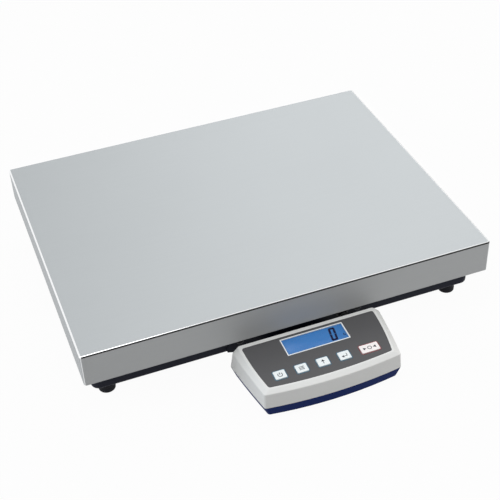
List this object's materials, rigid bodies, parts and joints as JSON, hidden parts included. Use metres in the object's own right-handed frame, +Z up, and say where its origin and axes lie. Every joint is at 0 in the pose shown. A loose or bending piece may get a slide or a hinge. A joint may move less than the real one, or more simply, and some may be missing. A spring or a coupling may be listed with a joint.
{
  "type": "platform counting scale",
  "caption": "Low platform scale with a folded stainless weighing plate on a black frame with levelling feet, and a clip-on display unit with a blue window and press keys.",
  "frame": {"origin": "floor level under the middle of the whole object's box", "axes": "+X along the plate's long side, to the right seen from the display; -Y towards the person reading the display; +Z up"},
  "size_m": [0.522, 0.4945, 0.098],
  "materials": {
    "stainless": "brushed",
    "black_paint": "satin powder coat",
    "carrier_paint": "satin powder coat",
    "cell_metal": "milled",
    "spacer_metal": "sawn and milled",
    "gauge_cover": "matt",
    "zinc_steel": "zinc plated",
    "black_screw": "blackened",
    "foot_rubber": "matt",
    "black_rubber": "matt",
    "black_plastic": "fine grain",
    "grey_shell": "fine grain",
    "navy_shell": "fine grain",
    "dark_foil": "fine texture",
    "window_clear": "clear",
    "lcd_blue": "lit blue",
    "diffuser": "milky",
    "board_green": "solder resist",
    "key_white": "smooth",
    "key_rose": "smooth",
    "level_fluid": "clear",
    "battery_wrap": "printed wrap"
  },
  "bodies": {
    "platform": {"base_frame": "black_paint", "plate_buffers": "black_rubber", "load_carrier": "carrier_paint", "upper_spacer": "spacer_metal", "load_cell": "cell_metal", "cell_covers": "gauge_cover", "lower_spacer": "spacer_metal", "live_end_bolts": "zinc_steel", "fixed_end_bolts": "zinc_steel", "overload_stop_screws": "zinc_steel", "stop_lock_nuts": "zinc_steel", "foot_weld_nuts": "zinc_steel", "foot_lock_nuts": "zinc_steel", "level_housing": "black_plastic", "level_glass": "level_fluid", "gland_body": "black_plastic", "gland_nut": "black_plastic", "display_bracket": "black_paint", "bracket_screws": "black_screw"},
    "plate": {"weighing_plate": "stainless"},
    "stud_fl": {"foot_stud_fl": "zinc_steel"},
    "stud_fr": {"foot_stud_fr": "zinc_steel"},
    "stud_rl": {"foot_stud_rl": "zinc_steel"},
    "stud_rr": {"foot_stud_rr": "zinc_steel"},
    "pad_fl": {"foot_pad_fl": "foot_rubber"},
    "pad_fr": {"foot_pad_fr": "foot_rubber"},
    "pad_rl": {"foot_pad_rl": "foot_rubber"},
    "pad_rr": {"foot_pad_rr": "foot_rubber"},
    "display": {"display_upper_shell": "grey_shell", "display_lower_shell": "navy_shell", "front_foil": "dark_foil", "lcd_window": "window_clear", "lcd_panel": "lcd_blue", "lcd_backlight": "diffuser", "main_board": "board_green", "key_switches": "black_plastic", "board_screws": "zinc_steel", "dc_socket": "black_plastic", "display_grommet": "black_rubber", "shell_screws": "black_screw", "display_feet": "black_rubber", "battery_block": "battery_wrap", "battery_clip": "black_rubber"},
    "key_a": {"key_1": "key_white"},
    "key_b": {"key_2": "key_white"},
    "key_c": {"key_3": "key_white"},
    "key_d": {"key_4": "key_white"},
    "key_e": {"key_wide": "key_rose"},
    "cover": {"battery_cover": "navy_shell"}
  },
  "joints": [
    {"name": "plate_lift", "type": "slide", "parent": "platform", "child": "plate", "axis": [0, 0, 1], "range_m": [0, 0.12]},
    {"name": "foot_lift_fl", "type": "slide", "parent": "platform", "child": "stud_fl", "axis": [0, 0, 1], "range_m": [-0.005, 0.00125]},
    {"name": "foot_turn_fl", "type": "hinge", "parent": "stud_fl", "child": "pad_fl", "pos_m": [-0.2295, -0.11425, 0.006], "axis": [0, 0, 1], "range_deg": [-1440, 360]},
    {"name": "foot_lift_fr", "type": "slide", "parent": "platform", "child": "stud_fr", "axis": [0, 0, 1], "range_m": [-0.005, 0.00125]},
    {"name": "foot_turn_fr", "type": "hinge", "parent": "stud_fr", "child": "pad_fr", "pos_m": [0.2295, -0.11425, 0.006], "axis": [0, 0, 1], "range_deg": [-1440, 360]},
    {"name": "foot_lift_rl", "type": "slide", "parent": "platform", "child": "stud_rl", "axis": [0, 0, 1], "range_m": [-0.005, 0.00125]},
    {"name": "foot_turn_rl", "type": "hinge", "parent": "stud_rl", "child": "pad_rl", "pos_m": [-0.2295, 0.20575, 0.006], "axis": [0, 0, 1], "range_deg": [-1440, 360]},
    {"name": "foot_lift_rr", "type": "slide", "parent": "platform", "child": "stud_rr", "axis": [0, 0, 1], "range_m": [-0.005, 0.00125]},
    {"name": "foot_turn_rr", "type": "hinge", "parent": "stud_rr", "child": "pad_rr", "pos_m": [0.2295, 0.20575, 0.006], "axis": [0, 0, 1], "range_deg": [-1440, 360]},
    {"name": "display_slide", "type": "slide", "parent": "platform", "child": "display", "axis": [0, -1, 0], "range_m": [0, 0.09]},
    {"name": "key_press_1", "type": "slide", "parent": "display", "child": "key_a", "axis": [0, 0.0523, -0.9986], "range_m": [0, 0.0005], "stiffness_N_per_m": 1000},
    {"name": "key_press_2", "type": "slide", "parent": "display", "child": "key_b", "axis": [0, 0.0523, -0.9986], "range_m": [0, 0.0005], "stiffness_N_per_m": 1000},
    {"name": "key_press_3", "type": "slide", "parent": "display", "child": "key_c", "axis": [0, 0.0523, -0.9986], "range_m": [0, 0.0005], "stiffness_N_per_m": 1000},
    {"name": "key_press_4", "type": "slide", "parent": "display", "child": "key_d", "axis": [0, 0.0523, -0.9986], "range_m": [0, 0.0005], "stiffness_N_per_m": 1000},
    {"name": "key_press_wide", "type": "slide", "parent": "display", "child": "key_e", "axis": [0, 0.0523, -0.9986], "range_m": [0, 0.0005], "stiffness_N_per_m": 1000},
    {"name": "battery_cover_slide", "type": "slide", "parent": "display", "child": "cover", "axis": [1, 0, 0], "range_m": [0, 0.036]}
  ],
  "couplings": [
    {"joint": "foot_lift_fl", "follows": "foot_turn_fl", "m_per_rad": 0.00019894},
    {"joint": "foot_lift_fr", "follows": "foot_turn_fr", "m_per_rad": 0.00019894},
    {"joint": "foot_lift_rl", "follows": "foot_turn_rl", "m_per_rad": 0.00019894},
    {"joint": "foot_lift_rr", "follows": "foot_turn_rr", "m_per_rad": 0.00019894}
  ]
}
